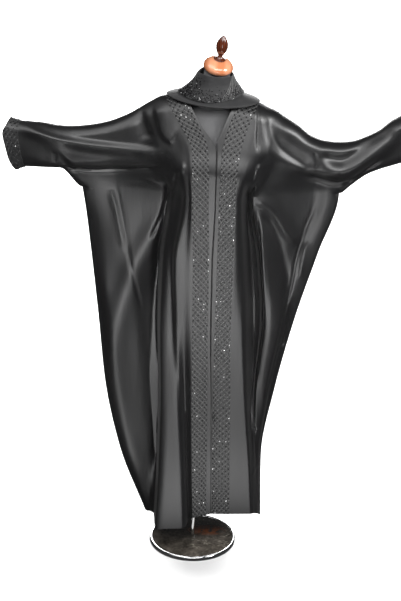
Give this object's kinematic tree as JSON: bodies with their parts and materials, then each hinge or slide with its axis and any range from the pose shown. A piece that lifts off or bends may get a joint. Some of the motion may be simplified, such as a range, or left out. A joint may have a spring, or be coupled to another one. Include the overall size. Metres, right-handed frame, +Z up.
{
  "type": "abaya cloak on limbless dress form",
  "caption": "Batwing satin abaya with beaded lattice front bands, cuffs and neck wrap, worn open-sleeved on a limbless dress form with a marble base.",
  "frame": {"origin": "middle of the round base's underside, on the floor", "axes": "+X to the side seen on the right from the front, -Y towards the front of the garment, +Z up"},
  "size_m": [1.3441, 0.3, 1.7934],
  "materials": {
    "black_satin": "soft black satin with a broad grey sheen",
    "beaded_lattice": "black cloth covered in small dark beads in a diamond lattice",
    "wrap_cloth": "matte black cloth with scattered dark beads",
    "form_cover": "dark grey jersey stretched over the form",
    "honey_wood": "glossy varnished honey wood",
    "red_wood": "glossy varnished red-brown wood",
    "chrome": "polished chrome",
    "marble": "polished dark veined marble"
  },
  "bodies": {
    "root": {"front_left": "black_satin", "front_right": "black_satin", "back": "black_satin", "band_left": "beaded_lattice", "band_right": "beaded_lattice", "cuff_left": "beaded_lattice", "cuff_right": "beaded_lattice", "wrap_upper": "wrap_cloth", "wrap_lower": "wrap_cloth", "form_torso": "form_cover", "neck_cap": "honey_wood", "finial": "red_wood", "pole": "chrome", "base_slab": "marble", "base_rim": "chrome"}
  },
  "joints": []
}
